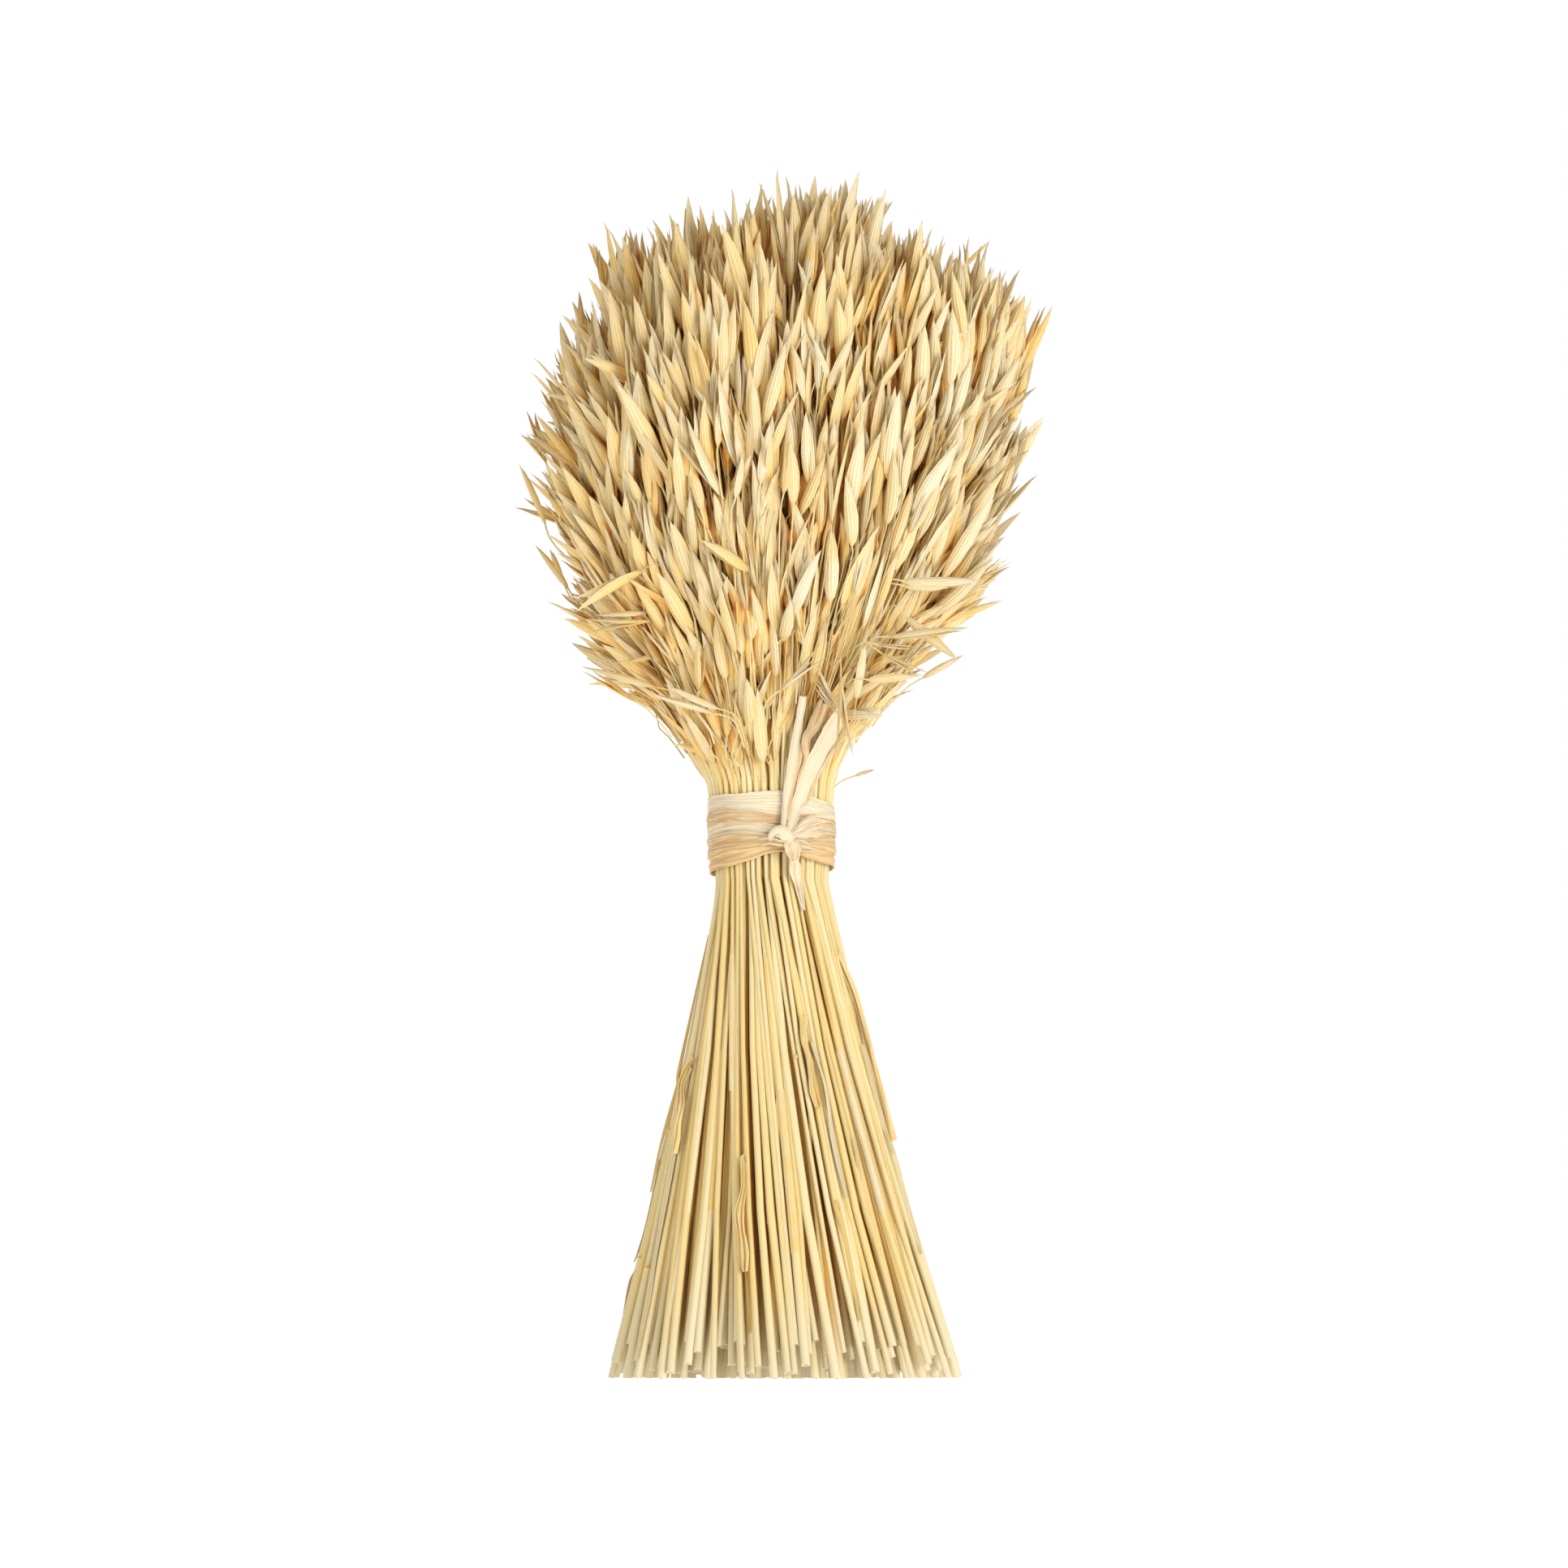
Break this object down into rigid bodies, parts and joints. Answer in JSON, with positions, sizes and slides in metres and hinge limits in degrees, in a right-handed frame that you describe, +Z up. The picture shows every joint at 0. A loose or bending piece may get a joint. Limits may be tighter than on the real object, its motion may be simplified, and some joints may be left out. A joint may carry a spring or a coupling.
{
  "type": "dried oat sheaf",
  "caption": "Standing sheaf of dried oats: straw stems splayed below a raffia tie, with a dense, spiky head of spikelets fanned out above it.",
  "frame": {"origin": "on the ground below the middle of the sheaf's box, level with the cut ends of the stems", "axes": "+Z up along the sheaf, -Y towards the knot of the tie, +X to the right as seen from the knot"},
  "size_m": [0.2068, 0.1906, 0.457],
  "materials": {
    "straw": "matt dry straw",
    "raffia_pale": "satin fibre",
    "raffia_tan": "satin fibre",
    "raffia_brown": "satin fibre"
  },
  "bodies": {
    "root": {"stalks_outer_01": "straw", "stalks_outer_02": "straw", "stalks_outer_03": "straw", "stalks_outer_04": "straw", "stalks_outer_05": "straw", "stalks_outer_06": "straw", "stalks_outer_07": "straw", "stalks_outer_08": "straw", "stalks_outer_09": "straw", "stalks_outer_10": "straw", "stalks_outer_11": "straw", "stalks_outer_12": "straw", "stalks_outer_13": "straw", "stalks_outer_14": "straw", "stalks_outer_15": "straw", "stalks_outer_16": "straw", "stalks_outer_17": "straw", "stalks_outer_18": "straw", "stalks_inner_01": "straw", "stalks_inner_02": "straw", "stalks_inner_03": "straw", "stalks_inner_04": "straw", "stalks_inner_05": "straw", "stalks_inner_06": "straw", "raffia_wrap_1": "raffia_pale", "raffia_wrap_2": "raffia_tan", "raffia_wrap_3": "raffia_pale", "raffia_wrap_4": "raffia_tan", "raffia_wrap_5": "raffia_brown", "raffia_knot": "raffia_tan", "raffia_tail_narrow": "raffia_pale", "raffia_tail_wide": "raffia_pale", "raffia_tail_short": "raffia_tan"}
  },
  "joints": []
}
